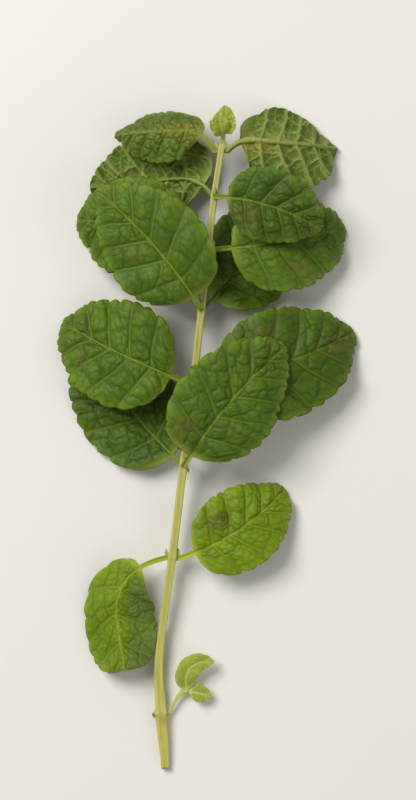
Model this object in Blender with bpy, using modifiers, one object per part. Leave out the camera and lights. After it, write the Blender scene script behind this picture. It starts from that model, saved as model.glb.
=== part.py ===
"""A cut sprig of mint, lying down.

The stem is square and lies along +Y, with its cut end at -Y. Its first centimetre rests flat on the
surface and the rest rises a little, held up by the leaves, which come off it in opposite pairs and
droop to the surface. Each leaf is one thin blade with its stalk. The thin shoot at the lowest node
and the bud at the tip are one piece each, with their own small leaves.
"""

import math
from dataclasses import dataclass

import bmesh
import bpy
import numpy as np

MM = 0.001

# Driving dimensions of the stem, in millimetres: along, across, height of its middle, width.
STEM_ROUTE = (
    (0.0, 0.0, 1.0, 2.0),
    (4.0, -0.2, 1.2, 2.4),
    (9.0, -0.65, 1.4, 2.8),
    (13.5, -1.0, 1.6, 2.85),
    (17.0, -1.2, 1.75, 2.7),
    (23.0, -1.65, 2.2, 2.4),
    (29.0, -1.4, 2.8, 2.15),
    (41.0, 0.1, 4.4, 2.0),
    (53.0, 1.8, 6.0, 2.0),
    (76.0, 4.6, 8.4, 2.0),
    (97.0, 7.2, 9.7, 1.9),
    (115.0, 9.1, 10.3, 1.8),
    (130.0, 10.8, 10.5, 1.7),
    (143.0, 12.3, 10.3, 1.6),
    (154.5, 14.0, 10.0, 1.4),
    (156.6, 14.3, 9.9, 1.2),
)
NODES = (13.5, 53.0, 76.0, 97.0, 115.0, 130.0, 143.0, 154.5)
NODE_SWELL = 0.12
NODE_LENGTH = 1.6
STEM_CORNER = 0.22

# The lowest stretch lies flat: what is nearer to the surface than this is on it.
REST_FLAT = 0.12

# The stub of a fallen leaf, on the left of the lowest node: its sizes and its turn in plan, in degrees.
SCAR_LENGTH = 0.7
SCAR_WIDTH = 1.3
SCAR_END_WIDTH = 0.87
SCAR_SIDES = 8
SCAR_TURN = -20.0

# Thickness of a blade, of its midrib and of its stalk, and the clear gap between two pieces.
BLADE_THICK = 0.6
RIB_THICK = 1.2
STALK_WIDTH = 1.3
GAP = 0.3

# The grid of a blade: each side vein ends between two teeth, with two rows to a tooth.
STALK_ROWS = 3
ROWS_PER_TOOTH = 2
TEETH_PER_VEIN = 2
COLUMNS = 6
SHOOT_COLUMNS = 4

# The form of a blade: how far its side veins lean to the tip, how round its base is, how deep its
# teeth are and how far they lean, how broad the swellings between the veins are, and its slow waves.
VEIN_LEAN = 0.8
BASE_ROUND = 0.5
TOOTH_DEPTH = 0.045
TOOTH_LEAN = 0.3
SWELL_POWER = 0.7
WAVES = 2.5

# Steps along the midline of a leaf, and halvings of the search for how far it droops, in degrees.
PATH_STEPS = 120
DROOP_LIMIT = 80.0
DROOP_STEPS = 24

# Points nearer to each other than this are one point.
MERGE = 0.02 * MM


@dataclass
class Leaf:
    """One leaf: sizes in millimetres, angles in degrees, heading counted from +X in plan.

    start is a node and a side of the stem, or a point. The heading changes by turn over the first
    part of the leaf, as long as bend. pitch is the slope at the start, the middle and the end. fold
    lifts the left and the right half of the blade, and curl bends them on towards the margin. rest
    is the height of the lowest point, and the leaf droops until it is there.
    """

    name: str
    start: tuple
    heading: float
    turn: float
    length: float
    width: float
    pitch: tuple
    rest: float = None
    roll: tuple = (0.0, 0.0)
    fold: tuple = (8.0, 8.0)
    curl: float = -9.0
    stalk: float = 4.0
    bend: float = 1.0
    tip: float = 0.72
    wave: float = 0.7
    phase: float = 0.0
    bulge: float = 0.7
    teeth: int = 12
    droop: float = 0.0


LEAVES = (
    Leaf("leaf_1_left", (1, "left"), heading=194.4, turn=84.2, length=28.7, width=20.4,
         pitch=(27.8, -14.5, 17), rest=0.2, roll=(0, 7.8), fold=(-15, -40.5), curl=-3.6, stalk=6.7,
         bend=0.71, tip=0.34, phase=0.4, teeth=8),
    Leaf("leaf_1_right", (1, "right"), heading=22, turn=24, length=30, width=20, pitch=(20, -6, -30),
         rest=0.2, phase=1.3),
    Leaf("leaf_2_front", (2, "front"), heading=58, turn=-16, length=38, width=25, pitch=(38, 0, -26),
         roll=(-6, -14), phase=2.1),
    Leaf("leaf_2_back", (2, "back"), heading=136, turn=-12, length=38, width=25, pitch=(-24, -10, 0),
         rest=0.4, phase=0.9),
    Leaf("leaf_3_left", (3, "left"), heading=158, turn=-8, length=34, width=26, pitch=(18, -10, -30),
         rest=0.2, phase=3.0),
    Leaf("leaf_3_right", (3, "right"), heading=10, turn=18, length=40, width=27, pitch=(20, -10, -30),
         rest=0.2, phase=4.2),
    Leaf("leaf_4_front", (4, "front"), heading=124, turn=14, length=37, width=25, pitch=(38, 0, -24),
         roll=(6, 14), phase=5.1),
    Leaf("leaf_4_back", (4, "back"), heading=50, turn=-14, length=36, width=24, pitch=(-24, -10, 0),
         rest=0.4, phase=0.2),
    Leaf("leaf_5_left", (5, "left"), heading=160, turn=12, length=32, width=25, pitch=(18, -12, -30),
         rest=0.2, phase=1.7),
    Leaf("leaf_5_right", (5, "right"), heading=4, turn=12, length=33, width=24, pitch=(18, -12, -30),
         rest=0.2, phase=2.9),
    Leaf("leaf_6_front", (6, "front"), heading=-6, turn=-22, length=26, width=18, pitch=(38, 0, -26),
         roll=(-4, -10), phase=3.7),
    Leaf("leaf_6_back", (6, "back"), heading=126, turn=60, length=30, width=24, pitch=(-22, -12, -4),
         rest=0.6, roll=(180, 180), fold=(4, 14), bend=0.4, phase=4.6),
    Leaf("leaf_7_left", (7, "left"), heading=124, turn=58, length=26, width=16.5, pitch=(26, 4, -36),
         rest=3.4, fold=(-12, -44), stalk=5, bend=0.4, phase=5.5),
    Leaf("leaf_7_right", (7, "right"), heading=42, turn=-46, length=28, width=25, pitch=(20, -2, -30),
         rest=0.3, roll=(180, 180), fold=(4, 52), bend=0.25, phase=0.7),
)

# The thin shoot at the lowest node: its route along the surface, and its two leaves.
SIDE_ROUTE = ((0.9, 13.9, 1.7), (2.0, 16.0, 1.9), (3.9, 18.8, 2.0), (5.2, 19.7, 2.1), (6.2, 19.7, 2.1))
SIDE_WIDTHS = (0.75, 0.8, 1.2, 1.7, 1.3)
SIDE_LEAVES = (
    Leaf("side_leaf_long", (5.5, 19.5, 2.6), heading=104, turn=-112, length=12.5, width=5.5,
         pitch=(24, 6, -6), fold=(18, 18), curl=-12, stalk=0.6, wave=0.2, phase=0.5, bulge=0.25, teeth=5),
    Leaf("side_leaf_round", (5.9, 19.5, 2.5), heading=-10, turn=-8, length=5.2, width=4.4,
         pitch=(14, 4, -8), fold=(10, 10), curl=-5, stalk=0.6, wave=0.1, phase=0.5, bulge=0.15, teeth=3),
)

# The bud at the tip, with its young leaves folded up round it.
BUD_ROUTE = ((14.4, 157.3, 10.0), (14.5, 158.4, 10.9), (14.6, 159.4, 12.2), (14.7, 160.4, 13.6))
BUD_WIDTHS = (1.2, 1.4, 1.3, 0.8)
BUD_LEAVES = (
    Leaf("bud_leaf_front", (14.5, 158.2, 12.2), heading=112, turn=-20, length=6.8, width=4.6,
         pitch=(62, 34, 0), fold=(26, 26), curl=-8, stalk=0.4, wave=0.15, phase=0.5, bulge=0.2, teeth=4),
    Leaf("bud_leaf_back", (14.5, 158.6, 10.6), heading=78, turn=16, length=7.0, width=5.0,
         pitch=(14, 22, 0), fold=(22, 22), curl=-8, stalk=0.4, wave=0.15, phase=1.5, bulge=0.2, teeth=4),
    Leaf("bud_leaf_left", (14.3, 159.0, 12.2), heading=150, turn=-20, length=4.6, width=3.2,
         pitch=(50, 40, 10), fold=(24, 24), curl=-5, stalk=0.4, wave=0.1, bulge=0.15, teeth=3),
    Leaf("bud_leaf_right", (14.8, 159.0, 12.2), heading=34, turn=24, length=4.4, width=3.2,
         pitch=(50, 44, 14), fold=(24, 24), curl=-5, stalk=0.4, wave=0.1, phase=2.0, bulge=0.15, teeth=3),
)


def start_empty():
    """Remove what the scene holds and make the collection for the sprig."""
    for obj in list(bpy.data.objects):
        bpy.data.objects.remove(obj)
    sprig = bpy.data.collections.new("mint_sprig")
    bpy.context.scene.collection.children.link(sprig)
    return sprig


def make_material(name, colour, roughness):
    """A plain Principled material."""
    material = bpy.data.materials.new(name)
    material.use_nodes = True
    shader = material.node_tree.nodes["Principled BSDF"]
    shader.inputs["Base Color"].default_value = (*colour, 1.0)
    shader.inputs["Roughness"].default_value = roughness
    shader.inputs["Metallic"].default_value = 0.0
    return material


def ease(x):
    """0 to 1 with a soft start and end."""
    x = np.clip(x, 0.0, 1.0)
    return x * x * (3.0 - 2.0 * x)


def smooth_route(route, along):
    """Read the columns of a route at a distance along it, on one smooth curve."""
    knots = np.array(route)
    slopes = np.gradient(knots[:, 1:], knots[:, 0], axis=0)
    i = int(np.clip(np.searchsorted(knots[:, 0], along) - 1, 0, len(knots) - 2))
    span = knots[i + 1, 0] - knots[i, 0]
    t = (along - knots[i, 0]) / span
    rise = ease(t)
    start_pull = t * (1.0 - t) ** 2 * span * slopes[i]
    end_pull = t * t * (1.0 - t) * span * slopes[i + 1]
    return knots[i, 1:] * (1.0 - rise) + knots[i + 1, 1:] * rise + start_pull - end_pull


def stem_centre(along):
    """The middle of the stem at a distance from its cut end, and its width there."""
    across, height, width = smooth_route(STEM_ROUTE, along)
    swell = sum(math.exp(-((along - node) / NODE_LENGTH) ** 2) for node in NODES)
    return np.array((across, along, height)), width * (1.0 + NODE_SWELL * swell)


def outline(t, tip):
    """Half width of a blade along its length, 1 at its widest; a low tip value makes a blunt tip."""
    t = np.clip(t, 0.0, 1.0)
    widest = BASE_ROUND / (BASE_ROUND + tip)
    full = widest ** BASE_ROUND * (1.0 - widest) ** tip
    return t ** BASE_ROUND * (1.0 - t) ** tip / full


def leaf_frame(leaf, f):
    """Tangent, right and up directions at the fractions f of stalk and blade together."""
    heading = np.radians(leaf.heading + leaf.turn * ease(f / leaf.bend))
    first, middle, last = leaf.pitch
    pitch = first + (middle - first) * ease(2.0 * f) + (last - middle) * ease(2.0 * f - 1.0)
    pitch = np.radians(pitch + leaf.droop * f)
    roll = np.radians(leaf.roll[0] + (leaf.roll[1] - leaf.roll[0]) * f)
    flat = np.zeros_like(f)
    ahead = np.cos(pitch)
    tangent = np.stack((ahead * np.cos(heading), ahead * np.sin(heading), np.sin(pitch)), -1)
    level = np.stack((np.sin(heading), -np.cos(heading), flat), -1)
    upright = np.cross(level, tangent)
    c = np.cos(roll)[..., None]
    s = np.sin(roll)[..., None]
    return tangent, level * c + upright * s, upright * c - level * s


def underside_up(leaf):
    """Whether the leaf is turned over, so that it thickens upwards."""
    return leaf.roll[0] > 90.0


def leaf_start(leaf):
    """Where the midline of the stalk's upper face begins, just clear of the stem."""
    if len(leaf.start) == 3:
        return np.array(leaf.start)
    node, side = leaf.start
    centre, width = stem_centre(NODES[node])
    reach = width / 2.0 + GAP + RIB_THICK / 2.0
    middle = {"left": (-reach, 0.0, 0.0), "right": (reach, 0.0, 0.0), "front": (0.0, 0.0, reach),
              "back": (0.0, 0.0, -reach)}[side]
    face = -RIB_THICK / 2.0 if underside_up(leaf) else RIB_THICK / 2.0
    return centre + np.array(middle) + np.array((0.0, 0.0, face))


def leaf_points(leaf, start, f, v, shape):
    """Points of the blade's upper face, at fractions f along and v across, -1 to 1.

    shape is the half width at each point and its height over the smooth blade.
    """
    half, height = shape
    total = leaf.stalk + leaf.length
    middles = (np.arange(PATH_STEPS) + 0.5) / PATH_STEPS
    steps = leaf_frame(leaf, middles)[0] * total / PATH_STEPS
    path = np.vstack((np.zeros(3), np.cumsum(steps, axis=0))) + start
    knots = np.arange(PATH_STEPS + 1) / PATH_STEPS
    centre = np.stack([np.interp(f, knots, path[:, k]) for k in range(3)], -1)
    _, right, up = leaf_frame(leaf, f)
    fold = np.where(v < 0.0, leaf.fold[0], leaf.fold[1])
    opened = ease(f * total / leaf.stalk / 2.0)
    lean = np.radians(fold + leaf.curl * np.abs(v)) * opened
    across = np.sign(v) * half * np.cos(lean)
    above = half * np.sin(lean) + height
    return centre + right * across[..., None] + up * above[..., None]


def blade_shape(leaf, row, v):
    """Fraction along, half width, height and thickness of the blade's grid points."""
    rows = leaf.teeth * ROWS_PER_TOOTH
    side = np.abs(v)
    total = leaf.stalk + leaf.length
    k = np.maximum(row - STALK_ROWS, 0)
    edge = side == 1.0
    point = (k % ROWS_PER_TOOTH == 1) & edge
    u = (k + TOOTH_LEAN * point) / rows
    lean = VEIN_LEAN * u * (1.0 - u)
    on_stalk = row <= STALK_ROWS
    blade_place = leaf.stalk + (u + lean * side) * leaf.length
    place = np.where(on_stalk, row / STALK_ROWS * leaf.stalk, blade_place)
    margin = outline(u + lean, leaf.tip) * leaf.width / 2.0
    tooth = np.where(edge, np.where(point, TOOTH_DEPTH, -TOOTH_DEPTH), 0.0) * leaf.width / 2.0
    stalk_half = STALK_WIDTH / 2.0 * (k < rows)
    half = side * np.maximum(margin, stalk_half) + tooth * (margin > STALK_WIDTH)
    period = ROWS_PER_TOOTH * TEETH_PER_VEIN
    swell = 0.5 - 0.5 * np.cos(2.0 * math.pi * k / period)
    fade = np.minimum(margin / (leaf.width / 4.0), 1.0)
    height = leaf.bulge * swell * np.sin(math.pi * side) ** SWELL_POWER * fade
    height = height + leaf.wave * side ** 2 * np.sin(2.0 * math.pi * WAVES * u + leaf.phase + v) * fade
    thick = np.where(side == 0.0, RIB_THICK - (RIB_THICK - BLADE_THICK) * u, BLADE_THICK)
    thick = np.where(on_stalk, RIB_THICK, thick)
    return place / total, half, height, thick


def blade_grid(leaf, columns):
    """The flat grid of a leaf, as a mesh, and the row and the place across of each point."""
    rows = STALK_ROWS + leaf.teeth * ROWS_PER_TOOTH
    bm = bmesh.new()
    bmesh.ops.create_grid(bm, x_segments=columns, y_segments=rows, size=1.0)
    flat = np.array([vert.co[:2] for vert in bm.verts])
    row = np.round((flat[:, 1] + 1.0) / 2.0 * rows).astype(int)
    across = np.round(flat[:, 0] * columns / 2.0) / (columns / 2.0)
    return bm, row, across


def settle(leaf, start, row, across):
    """Bend a leaf down or up until its lowest point is as high as it rests."""
    f, half, height, _ = blade_shape(leaf, row, across)
    below = 0.0 if underside_up(leaf) else BLADE_THICK
    low, high = -DROOP_LIMIT, DROOP_LIMIT
    for _ in range(DROOP_STEPS):
        leaf.droop = (low + high) / 2.0
        points = leaf_points(leaf, start, f, across, (half, height))
        if points[:, 2].min() - below > leaf.rest:
            high = leaf.droop
        else:
            low = leaf.droop


def make_leaf(leaf, columns=COLUMNS):
    """One blade with its stalk, as a mesh object with its thickness as a modifier."""
    start = leaf_start(leaf)
    bm, row, across = blade_grid(leaf, columns)
    if leaf.rest is not None:
        settle(leaf, start, row, across)
    f, half, height, thick = blade_shape(leaf, row, across)
    points = leaf_points(leaf, start, f, across, (half, height))
    layer = bm.verts.layers.deform.verify()
    for vert, point, depth in zip(bm.verts, points, thick):
        vert.co = point * MM
        vert[layer][0] = depth / RIB_THICK
    bmesh.ops.remove_doubles(bm, verts=bm.verts[:], dist=MERGE)
    bmesh.ops.triangulate(bm, faces=bm.faces[:])
    mesh = bpy.data.meshes.new(leaf.name)
    bm.to_mesh(mesh)
    bm.free()
    obj = bpy.data.objects.new(leaf.name, mesh)
    obj.vertex_groups.new(name="thickness")
    skin = obj.modifiers.new("thickness", "SOLIDIFY")
    skin.thickness = RIB_THICK * MM
    skin.offset = -1.0
    skin.vertex_group = "thickness"
    skin.thickness_vertex_group = 0.0
    return obj


def evaluated_mesh(obj):
    """The mesh of an object with its modifiers applied."""
    bpy.context.view_layer.update()
    return bpy.data.meshes.new_from_object(obj.evaluated_get(bpy.context.evaluated_depsgraph_get()))


def square_section(name):
    """The section of a stem as a curve: a square two units wide with its corners taken off."""
    profile = bpy.data.curves.new(name, "CURVE")
    section = profile.splines.new("POLY")
    section.use_cyclic_u = True
    flat = 1.0 - STEM_CORNER
    quarter = [(flat, -1.0), (1.0, -flat)]
    half = quarter + [(-y, x) for x, y in quarter]
    corners = half + [(-x, -y) for x, y in half]
    section.points.add(len(corners) - 1)
    for point, (x, y) in zip(section.points, corners):
        point.co = (x, y, 0.0, 1.0)
    return bpy.data.objects.new(name, profile)


def square_tube(name, points, widths):
    """A closed square tube along points, as wide as widths, with its corners taken off."""
    guide = square_section(name + "_section")
    curve = bpy.data.curves.new(name, "CURVE")
    curve.dimensions = "3D"
    curve.twist_mode = "Z_UP"
    curve.bevel_mode = "OBJECT"
    curve.bevel_object = guide
    curve.use_fill_caps = True
    spline = curve.splines.new("POLY")
    spline.points.add(len(points) - 1)
    for point, place, width in zip(spline.points, points, widths):
        point.co = (*(np.array(place) * MM), 1.0)
        point.radius = width / 2.0 * MM
    path = bpy.data.objects.new(name, curve)
    scene_objects = bpy.context.scene.collection.objects
    scene_objects.link(guide)
    scene_objects.link(path)
    mesh = evaluated_mesh(path)
    bpy.data.objects.remove(path)
    bpy.data.objects.remove(guide)
    bm = bmesh.new()
    bm.from_mesh(mesh)
    bmesh.ops.remove_doubles(bm, verts=bm.verts[:], dist=MERGE)
    bmesh.ops.recalc_face_normals(bm, faces=bm.faces[:])
    bm.to_mesh(mesh)
    bm.free()
    return bpy.data.objects.new(name, mesh)


def make_scar():
    """The stub of a fallen leaf, half sunk in the left face of the lowest node."""
    centre, width = stem_centre(NODES[0])
    bm = bmesh.new()
    bmesh.ops.create_cone(bm, cap_ends=True, segments=SCAR_SIDES, radius1=SCAR_WIDTH / 2.0 * MM,
                          radius2=SCAR_END_WIDTH / 2.0 * MM, depth=2.0 * SCAR_LENGTH * MM)
    mesh = bpy.data.meshes.new("scar")
    bm.to_mesh(mesh)
    bm.free()
    scar = bpy.data.objects.new("scar", mesh)
    scar.rotation_euler = (0.0, math.radians(-90.0), math.radians(SCAR_TURN))
    scar.location = (centre + np.array((-width / 2.0, 0.0, 0.0))) * MM
    return scar


def fuse(body, growths):
    """Join pieces to the one that they grow from, as one closed body."""
    group = bpy.data.collections.new(body.name + "_growths")
    bpy.context.scene.collection.children.link(group)
    bpy.context.scene.collection.objects.link(body)
    for growth in growths:
        group.objects.link(growth)
    union = body.modifiers.new("growths", "BOOLEAN")
    union.operation = "UNION"
    union.operand_type = "COLLECTION"
    union.collection = group
    union.solver = "MANIFOLD"
    joined = evaluated_mesh(body)
    body.modifiers.remove(union)
    body.data = joined
    bpy.context.scene.collection.objects.unlink(body)
    for growth in growths:
        bpy.data.objects.remove(growth)
    bpy.data.collections.remove(group)
    return body


def finish(obj, sprig, material):
    """Put a piece in the sprig's collection with its material."""
    obj.data.materials.clear()
    obj.data.materials.append(material)
    sprig.objects.link(obj)


def make_stem():
    """The main stem, with a ring at each node and the stub of a fallen leaf."""
    knots = {point[0] for point in STEM_ROUTE}
    rings = {node + side * NODE_LENGTH for node in NODES[1:] for side in (-1.0, 1.0)}
    along = sorted(knots | {y for y in rings if y < STEM_ROUTE[-1][0]})
    centres, widths = zip(*(stem_centre(y) for y in along))
    stem = square_tube("main_stem", centres, widths)
    for vert in stem.data.vertices:
        if vert.co.z < REST_FLAT * MM:
            vert.co.z = 0.0
    return fuse(stem, [make_scar()])


def make_shoot(name, route, widths, leaves):
    """A thin stalk fused with its small leaves."""
    return fuse(square_tube(name, route, widths), [make_leaf(leaf, SHOOT_COLUMNS) for leaf in leaves])


def centre_on_surface(sprig):
    """Move the pieces together until the middle of the box's floor is at the origin."""
    bpy.context.view_layer.update()
    deps = bpy.context.evaluated_depsgraph_get()
    meshes = [obj.evaluated_get(deps).data for obj in sprig.objects]
    corners = np.array([vert.co[:] for mesh in meshes for vert in mesh.vertices])
    low, high = corners.min(axis=0), corners.max(axis=0)
    middle = ((low[0] + high[0]) / 2.0, (low[1] + high[1]) / 2.0, low[2])
    for obj in sprig.objects:
        obj.location = [-value for value in middle]


def main():
    """Build the sprig in a collection of its own."""
    sprig = start_empty()
    leaf_green = make_material("leaf_green", (0.10, 0.19, 0.03), 0.5)
    stem_green = make_material("stem_green", (0.45, 0.42, 0.13), 0.45)
    young_green = make_material("young_green", (0.30, 0.36, 0.08), 0.5)
    finish(make_stem(), sprig, stem_green)
    finish(make_shoot("side_shoot", SIDE_ROUTE, SIDE_WIDTHS, SIDE_LEAVES), sprig, young_green)
    finish(make_shoot("shoot_tip", BUD_ROUTE, BUD_WIDTHS, BUD_LEAVES), sprig, young_green)
    for leaf in LEAVES:
        finish(make_leaf(leaf), sprig, leaf_green)
    centre_on_surface(sprig)


main()
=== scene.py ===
"""The looks of a cut sprig of mint that lies on a pale table.

Every leaf, the stem, the side shoot and the bud repeat the form of their solid with a finer surface:
toothed margins, a net of veins with the blade swollen between them, ridges and rings on the stem.
Lengths are in millimetres, in a frame that begins at the middle of the cut end with the stem along
+Y. make_piece turns them into metres in the frame's place.
"""

import math
from dataclasses import dataclass

import bpy
import numpy as np
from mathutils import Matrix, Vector


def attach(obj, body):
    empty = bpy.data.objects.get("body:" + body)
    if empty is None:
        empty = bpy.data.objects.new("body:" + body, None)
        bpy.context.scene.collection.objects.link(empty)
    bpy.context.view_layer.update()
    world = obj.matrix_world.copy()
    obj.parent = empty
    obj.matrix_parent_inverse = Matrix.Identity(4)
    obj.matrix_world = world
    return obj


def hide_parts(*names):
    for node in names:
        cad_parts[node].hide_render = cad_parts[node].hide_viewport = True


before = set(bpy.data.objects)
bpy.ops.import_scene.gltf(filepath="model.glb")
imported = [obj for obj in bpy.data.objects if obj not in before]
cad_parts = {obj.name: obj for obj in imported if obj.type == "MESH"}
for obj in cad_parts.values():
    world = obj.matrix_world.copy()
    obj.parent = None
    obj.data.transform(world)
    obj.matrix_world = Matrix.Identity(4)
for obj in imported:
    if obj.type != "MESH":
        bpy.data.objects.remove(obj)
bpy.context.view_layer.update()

MM = 0.001

# The photograph looks straight down. The scale, which is an estimate, and the pixel of the cut end place
# the camera. The scale holds at PLANE_HEIGHT over the table, in millimetres, as the lens and sensor are.
IMAGE_SIZE = (416, 800)
MM_PER_PIXEL = 0.25
CUT_END_PIXEL = (165, 770)
LENS = 150.0
SENSOR = 36.0
PLANE_HEIGHT = 6.0

# The stem, in millimetres: along, across, height of its middle, width.
STEM_ROUTE = (
    (0.0, 0.0, 1.0, 2.0),
    (4.0, -0.2, 1.2, 2.4),
    (9.0, -0.65, 1.4, 2.8),
    (13.5, -1.0, 1.6, 2.85),
    (17.0, -1.2, 1.75, 2.7),
    (23.0, -1.65, 2.2, 2.4),
    (29.0, -1.4, 2.8, 2.15),
    (41.0, 0.1, 4.4, 2.0),
    (53.0, 1.8, 6.0, 2.0),
    (76.0, 4.6, 8.4, 2.0),
    (97.0, 7.2, 9.7, 1.9),
    (115.0, 9.1, 10.3, 1.8),
    (130.0, 10.8, 10.5, 1.7),
    (143.0, 12.3, 10.3, 1.6),
    (154.5, 14.0, 10.0, 1.4),
    (156.6, 14.3, 9.9, 1.2),
)
NODES = (13.5, 53.0, 76.0, 97.0, 115.0, 130.0, 143.0, 154.5)
NODE_SWELL = 0.12
NODE_LENGTH = 1.6
SIDES = {
    "left": (-1.0, 0.0, 0.0),
    "right": (1.0, 0.0, 0.0),
    "front": (0.0, 0.0, 1.0),
    "back": (0.0, 0.0, -1.0),
}

# The fine stem: rings per millimetre and points round it, how square its section is, how deep its four
# grooves are, how far its rings and its scar stand out, how far the scar goes along and round it, and
# the angle of its left side; then the rings of its cut end, each by its share of the width and how far
# it is sunk, those of its top end by their share of the width, and the points round a thin stalk.
RINGS_PER_MM = 3.0
STEM_SIDES = 40
SQUARENESS = 5.0
GROOVE = 0.08
NODE_RING = 0.07
SCAR_HEIGHT = 0.8
SCAR_LENGTH = 0.75
SCAR_SPREAD = 0.5
LEFT = math.pi
CUT_RINGS = ((0.06, 0.36), (0.24, 0.32), (0.46, 0.2), (0.66, 0.12), (0.86, 0.05))
TIP_RINGS = (0.7, 0.3, 0.04)
SHOOT_SIDES = 20

# How long the rings at the nodes are and the one at the lowest node, how far each ripple of the skin
# goes, how far the edge of the cut stands out and how ragged it is, how rough its face is, how far the
# top end is rounded, and the first and last rings of a thin stalk, as shares of its width.
NODE_RING_WIDTH = 0.45
LOW_RING_WIDTH = 0.5
RIPPLE = 0.008
CUT_EDGE = 0.06
RAGGED = 0.12
CUT_ROUGH = 0.02
TIP_ROUND = 0.15
STALK_ENDS = (0.3, 0.35)

# The small bud in the angle of each leaf: how far it goes along and out from the stem, and its widths.
BUD_STEPS = ((0.2, -0.3), (0.7, 0.1), (1.3, 0.35), (1.9, 0.4), (2.5, 0.3))
BUD_THICK = (0.5, 0.9, 0.95, 0.6, 0.15)

# Thickness of a blade in the solids and here, of its margin, and of its midrib and stalk.
SOLID_BLADE = 0.6
BLADE_THICK = 0.34
MARGIN_THICK = 0.2
RIB_THICK = 1.2
STALK_WIDTH = 1.3
GAP = 0.3

# The form of a blade, as in the solids.
VEIN_LEAN = 0.8
BASE_ROUND = 0.5
TOOTH_DEPTH = 0.045
TOOTH_LEAN = 0.3
SWELL_POWER = 0.7
WAVES = 2.5
PATH_STEPS = 120
DROOP_LIMIT = 80.0
DROOP_STEPS = 24

# The fine grid of a blade: its rows, and its columns on each side of the midrib.
BLADE_ROWS = 100
STALK_ROWS = 8
ROOT_ROWS = 4
COLUMNS = 38
SHOOT_ROWS = 36
SHOOT_COLUMNS = 14
TIP_END = 0.994

# What is added to the form of a blade 25 mm wide: the size of the cells between its veins, coarse and
# fine, how uneven they are, how the side veins sway, and how far the cells swell; how deep its veins
# lie and how far they stand out underneath; how much the midrib narrows and sinks towards the tip; how
# deep and how close its creases are; how its margin ruffles; and how deep and uneven its notches are.
USUAL_WIDTH = 25.0
CELL = 4.2
SMALL_CELL = 1.9
CELL_JITTER = 0.3
CELL_STAGGER = 0.2
CELL_BEND = 0.3
FINE_CELL_BEND = 0.15
VEIN_SWAY = 0.3
CELLS_JOINED = 0.12
DOME = 0.44
DOME_WIDTH = 0.6
SMALL_DOME = 0.24
SMALL_DOME_WIDTH = 0.35
LATERAL_GROOVE = 0.26
MIDRIB_GROOVE = 0.4
UNDER_LATERAL = 0.26
UNDER_NET = 0.16
RIB_NARROWS = 0.8
RIB_SINKS = 0.78
CREASE = 0.2
CREASE_WAVES = (0.55, 0.42)
RUFFLE = 0.1
RUFFLES = 6.5
NOTCH = 1.1
NOTCH_CHANGE = 0.75

# Where the blade has opened out of its stalk, as a share of its length; how wide the lines of its
# veins are, as grooves, as a net and as colours; how strong the fine net is, and how far nets and side
# veins keep off the midrib; how much of the relief shows underneath; how much thicker the root is; how
# wide the paler margin is; and where the soft spots may lie, as shares of width and length, and how
# wide they are.
OPEN_AT = 0.08
VEIN_WIDTH = 0.36
NET_WIDTH = 0.26
SMALL_NET_WIDTH = 0.18
SMALL_NET = 0.65
MIDRIB_CLEAR = 0.55
MIDRIB_COLOUR = 0.34
SIDE_VEIN_COLOUR = 0.24
UNDER_SHARE = 0.8
ROOT_THICKER = 1.15
PALE_MARGIN = 1.1
BRUISE_FROM = (-0.35, 0.15)
BRUISE_TO = (0.35, 0.85)
BRUISE_RADIUS = (1.6, 4.2)

# A second colour, which is painted shade where it has half the leaf and a tan tint where it is at the
# base. Where it has half the leaf: how far from the midrib it starts and over how much it grows, as
# shares of the half width. Where it is at the base: how far it goes across, in millimetres, and along,
# as a share of the length.
PAINTED_SHADE_FROM = 0.2
PAINTED_SHADE_SOFT = 0.2
TONE_ACROSS = 2.6
TONE_ALONG = 0.4


@dataclass
class Leaf:
    """One leaf: sizes in millimetres, angles in degrees, heading counted from +X in plan.

    start is a node and a side of the stem, or a point. The heading changes by turn over the first
    part of the leaf, as long as bend. pitch is the slope at the start, the middle and the end. fold
    lifts the left and the right half of the blade, and curl bends them on towards the margin. A low
    tip makes a blunt end. wave and bulge are how far the margin goes up and down and the blade swells,
    as in the solid, phase shifts the waves, and teeth are counted on one side. rest is the height of
    the lowest point, and settle finds the droop that brings it there. look names its material, puff
    says how much it swells between its veins, bruises counts its dark soft spots, and tone says where
    it has its second colour: painted shade on most of the left half, or its own tan tint at the base.
    """

    name: str
    start: tuple
    heading: float
    turn: float
    length: float
    width: float
    pitch: tuple
    rest: float = None
    roll: tuple = (0.0, 0.0)
    fold: tuple = (8.0, 8.0)
    curl: float = -9.0
    stalk: float = 4.0
    bend: float = 1.0
    tip: float = 0.72
    wave: float = 0.7
    phase: float = 0.0
    bulge: float = 0.7
    teeth: int = 12
    droop: float = 0.0
    look: str = "green"
    puff: float = 1.0
    bruises: int = 1
    tone: str = ""


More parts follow.
